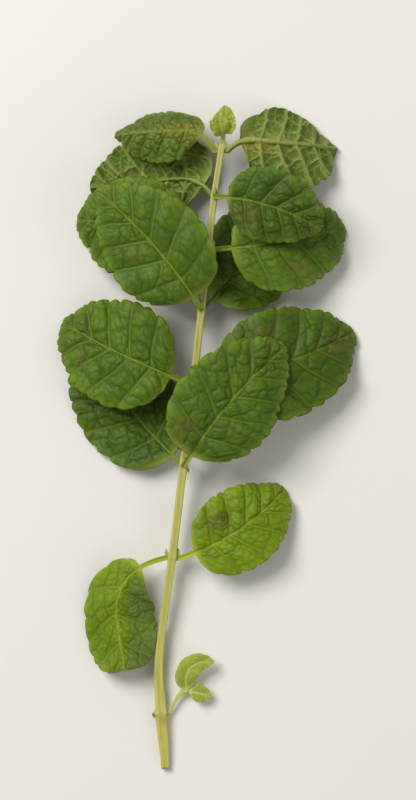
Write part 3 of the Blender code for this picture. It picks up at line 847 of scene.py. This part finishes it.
class Shader:
    """Adds the nodes of one material."""

    def __init__(self, name):
        self.material = bpy.data.materials.new(name)
        self.material.use_nodes = True
        self.nodes = self.material.node_tree.nodes
        self.links = self.material.node_tree.links
        self.base = self.nodes["Principled BSDF"]

    def node(self, kind, **settings):
        """Add a node and set its properties."""
        made = self.nodes.new(kind)
        for key, value in settings.items():
            setattr(made, key, value)
        return made

    def feed(self, socket, value):
        """Link a socket to another, or set it to a number or a colour."""
        if isinstance(value, bpy.types.NodeSocket):
            self.links.new(value, socket)
        elif isinstance(value, tuple) and socket.type == "RGBA":
            socket.default_value = (*value, 1.0)
        else:
            socket.default_value = value

    def value(self, name):
        """One of the values kept at the points."""
        return self.node("ShaderNodeAttribute", attribute_name=name).outputs["Fac"]

    def place(self, stretch=(1.0, 1.0, 1.0)):
        """The place on the piece, in millimetres, stretched along the axes."""
        where = self.node("ShaderNodeTexCoord").outputs["Object"]
        mapping = self.node("ShaderNodeMapping")
        self.links.new(where, mapping.inputs["Vector"])
        mapping.inputs["Scale"].default_value = tuple(share / MM for share in stretch)
        return mapping.outputs["Vector"]

    def noise(self, where, scale, detail=3.0, roughness=0.5):
        """A soft noise at a place, with so many blots to a millimetre."""
        made = self.node("ShaderNodeTexNoise")
        self.links.new(where, made.inputs["Vector"])
        made.inputs["Scale"].default_value = scale
        made.inputs["Detail"].default_value = detail
        made.inputs["Roughness"].default_value = roughness
        return made.outputs["Fac"]

    def math(self, operation, first, second=0.0):
        """A sum on two numbers, kept between 0 and 1."""
        made = self.node("ShaderNodeMath", operation=operation, use_clamp=True)
        self.feed(made.inputs[0], first)
        self.feed(made.inputs[1], second)
        return made.outputs[0]

    def spread(self, value, low, high):
        """A number that rises from 0 to 1 as the value goes from low to high."""
        made = self.node("ShaderNodeMapRange", interpolation_type="SMOOTHSTEP")
        self.feed(made.inputs["Value"], value)
        made.inputs["From Min"].default_value = low
        made.inputs["From Max"].default_value = high
        return made.outputs["Result"]

    def mix(self, share, first, second):
        """A colour between two."""
        made = self.node("ShaderNodeMix", data_type="RGBA")
        self.feed(made.inputs["Factor"], share)
        self.feed(made.inputs[6], first)
        self.feed(made.inputs[7], second)
        return made.outputs[2]

    def bump(self, height, distance, strength=1.0):
        """Small relief of the surface, from a height between 0 and 1 and its size in millimetres."""
        made = self.node("ShaderNodeBump")
        made.inputs["Strength"].default_value = strength
        made.inputs["Distance"].default_value = distance * MM
        self.links.new(height, made.inputs["Height"])
        return made.outputs["Normal"]


def leaf_material(name, look):
    """Green leaf, with painted shade in the grooves and paler on the ribs and the margin, with soft brown
    spots, and a second colour that is painted shade on a half and a tan tint at the base.

    The net of veins is sunk above and raised underneath, where the leaf is duller.
    """
    s = Shader(name)
    where = s.place()
    slow = s.spread(s.noise(where, 0.09, 4.0, 0.6), 0.36, 0.66)
    cell = s.value("tint")
    patch = s.math("ADD", s.math("MULTIPLY", slow, 0.7), s.math("MULTIPLY", cell, 0.35))
    fine = s.noise(where, 1.6, 5.0, 0.65)
    patch = s.math("ADD", patch, s.math("MULTIPLY", s.spread(fine, 0.55, 0.75), 0.25))
    net = s.value("net")
    vein = s.value("vein")
    edge = s.value("edge")
    # The second colour: painted shade on half of a leaf, a tan tint at the base.
    tone = s.math("MULTIPLY", s.value("tone"), 0.75)
    upper = s.mix(patch, linear(look.upper_dark), linear(look.upper))
    upper = s.mix(s.math("MULTIPLY", edge, 0.55), upper, linear(look.margin))
    upper = s.mix(tone, upper, linear(look.tone))
    # Painted shade: the sunken net of veins on the upper face takes a darker colour, as shade in its
    # grooves.
    upper = s.mix(s.math("MULTIPLY", net, 0.75), upper, linear(look.painted_groove_shade))
    upper = s.mix(s.math("MULTIPLY", vein, 0.8), upper, linear(look.rib))
    under = s.mix(patch, linear(look.under_dark), linear(look.under))
    under = s.mix(tone, under, linear(look.tone))
    under = s.mix(s.math("MULTIPLY", s.math("MAXIMUM", net, vein), 0.8), under, linear(look.under_vein))
    colour = s.mix(s.value("under"), upper, under)
    by_cell = s.math("ADD", s.math("MULTIPLY", cell, 0.7), 0.4)
    blots = s.math("MULTIPLY", s.noise(where, 1.1, 5.0, 0.75), by_cell)
    torn = s.math("ADD", s.math("MULTIPLY", s.value("mark"), 0.42), s.math("MULTIPLY", blots, 0.85))
    colour = s.mix(s.math("MULTIPLY", s.spread(torn, 0.54, 0.7), 0.65), colour, linear(BRUISE))
    colour = s.mix(s.math("MULTIPLY", s.spread(torn, 0.72, 0.84), 0.65), colour, linear(BRUISE_CORE))
    s.feed(s.base.inputs["Base Color"], colour)
    gloss = s.node("ShaderNodeMapRange")
    s.links.new(fine, gloss.inputs["Value"])
    gloss.inputs["To Min"].default_value = LEAF_ROUGHNESS[0]
    gloss.inputs["To Max"].default_value = LEAF_ROUGHNESS[1]
    s.links.new(gloss.outputs["Result"], s.base.inputs["Roughness"])
    grain = s.math("ADD", s.math("MULTIPLY", s.noise(where, 4.5, 4.0, 0.6), 0.2),
                   s.math("MULTIPLY", fine, 0.16))
    topside = s.math("SUBTRACT", 1.0, s.value("under"))
    above = s.math("MULTIPLY", s.math("SUBTRACT", 1.0, net), topside)
    below = s.math("MULTIPLY", net, s.value("under"))
    puckers = s.math("MULTIPLY", s.math("ADD", above, below), 0.6)
    s.links.new(s.bump(s.math("ADD", puckers, grain), LEAF_RELIEF, 0.6), s.base.inputs["Normal"])
    s.base.inputs["Specular IOR Level"].default_value = 0.25
    s.base.inputs["Subsurface Weight"].default_value = 0.08
    s.base.inputs["Subsurface Radius"].default_value = (0.8, 1.0, 0.3)
    s.base.inputs["Subsurface Scale"].default_value = 0.6 * MM
    return s.material


def stem_material():
    """Pale yellow-green stem, with paler ridges, streaks, a brown scar and a pale cut end."""
    s = Shader("mint_stem")
    where = s.place()
    streaks = s.noise(s.place((1.0, 0.06, 1.0)), 1.7, 4.0, 0.6)
    colour = s.mix(s.spread(s.value("along"), 0.1, 0.6), linear(STEM_LOW), linear(STEM_HIGH))
    colour = s.mix(s.math("MULTIPLY", s.spread(streaks, 0.4, 0.7), 0.45), colour, linear(STEM_SHADE))
    colour = s.mix(s.math("MULTIPLY", s.value("edge"), 0.5), colour, linear(STEM_RIDGE))
    colour = s.mix(s.math("MULTIPLY", s.value("tint"), 0.5), colour, linear(STEM_BLUSH))
    colour = s.mix(s.math("MULTIPLY", s.value("net"), 0.5), colour, linear(STEM_RING))
    colour = s.mix(s.value("under"), colour, linear(CUT_FACE))
    spots = s.noise(where, 1.1, 4.0, 0.6)
    worn = s.math("ADD", s.value("mark"), s.math("MULTIPLY", spots, 0.3))
    colour = s.mix(s.math("MULTIPLY", s.spread(worn, 0.25, 0.85), 0.9), colour, linear(STEM_SCAR))
    colour = s.mix(s.math("MULTIPLY", s.spread(spots, 0.64, 0.74), 0.35), colour, linear(STEM_BLUSH))
    s.feed(s.base.inputs["Base Color"], colour)
    s.base.inputs["Roughness"].default_value = STEM_ROUGHNESS
    s.base.inputs["Specular IOR Level"].default_value = 0.35
    height = s.math("ADD", streaks, s.math("MULTIPLY", spots, 0.4))
    s.links.new(s.bump(height, STEM_RELIEF, 0.6), s.base.inputs["Normal"])
    s.base.inputs["Subsurface Weight"].default_value = 0.12
    s.base.inputs["Subsurface Radius"].default_value = (1.0, 0.9, 0.4)
    s.base.inputs["Subsurface Scale"].default_value = 0.8 * MM
    return s.material


def make_floor():
    """A plain pale table under the sprig."""
    s = Shader("pale_table")
    s.base.inputs["Base Color"].default_value = (*linear(FLOOR), 1.0)
    s.base.inputs["Roughness"].default_value = 0.7
    s.base.inputs["Specular IOR Level"].default_value = 0.2
    bpy.ops.mesh.primitive_plane_add(size=4.0)
    floor = bpy.context.object
    floor.name = "table_top"
    floor.data.materials.append(s.material)


def add_lamp(name, place, size, power):
    """A square soft light that points at the middle of the sprig."""
    light = bpy.data.lights.new(name, "AREA")
    light.size = size
    light.energy = power
    lamp = bpy.data.objects.new(name, light)
    lamp.location = place
    lamp.rotation_euler = (-Vector(place)).to_track_quat("-Z", "Y").to_euler()
    bpy.context.scene.collection.objects.link(lamp)


def make_lights():
    """A large soft light above and to the left, a weaker one to the right, and a pale surround."""
    add_lamp("key_light", *KEY_LIGHT)
    add_lamp("fill_light", *FILL_LIGHT)
    bpy.context.scene.view_settings.view_transform = "Standard"
    world = bpy.data.worlds.new("pale_surround")
    bpy.context.scene.world = world
    world.use_nodes = True
    world.node_tree.nodes["Background"].inputs["Color"].default_value = (1.0, 1.0, 1.0, 1.0)
    world.node_tree.nodes["Background"].inputs["Strength"].default_value = SURROUND_LIGHT


def make_camera(origin):
    """A camera that looks straight down, at the photograph's scale on the sprig."""
    data = bpy.data.cameras.new("camera")
    data.lens = LENS
    data.sensor_width = SENSOR
    camera = bpy.data.objects.new("camera", data)
    bpy.context.scene.collection.objects.link(camera)
    width, height = IMAGE_SIZE
    across = (width / 2.0 - CUT_END_PIXEL[0]) * MM_PER_PIXEL
    along = (CUT_END_PIXEL[1] - height / 2.0) * MM_PER_PIXEL
    away = height * MM_PER_PIXEL * LENS / SENSOR
    camera.location = (np.array((across, along, PLANE_HEIGHT + away)) + origin) * MM
    bpy.context.scene.camera = camera


def main():
    """Build the sprig, the table, the lights and the camera."""
    origin = find_origin()
    stem = Surface()
    add_stem(stem, seed=11)
    add_buds(stem)
    make_piece("main_stem", stem, stem_material(), origin)
    materials = {name: leaf_material("mint_leaf_" + name, look) for name, look in LOOKS.items()}
    for seed, leaf in enumerate(LEAVES, 20):
        blade = Surface()
        add_leaf(blade, leaf, seed)
        make_piece(leaf.name, blade, materials[leaf.look], origin)
    for name, route, widths, leaves in (("side_shoot", SIDE_ROUTE, SIDE_WIDTHS, SIDE_LEAVES),
                                        ("shoot_tip", BUD_ROUTE, BUD_WIDTHS, BUD_LEAVES)):
        shoot = Surface()
        add_stalk(shoot, route, widths, vein=0.6, tint=0.5)
        for seed, leaf in enumerate(leaves, 60):
            add_leaf(shoot, leaf, seed, SHOOT_ROWS, SHOOT_COLUMNS)
        make_piece(name, shoot, materials["young"], origin)
    make_floor()
    make_lights()
    make_camera(origin)


main()
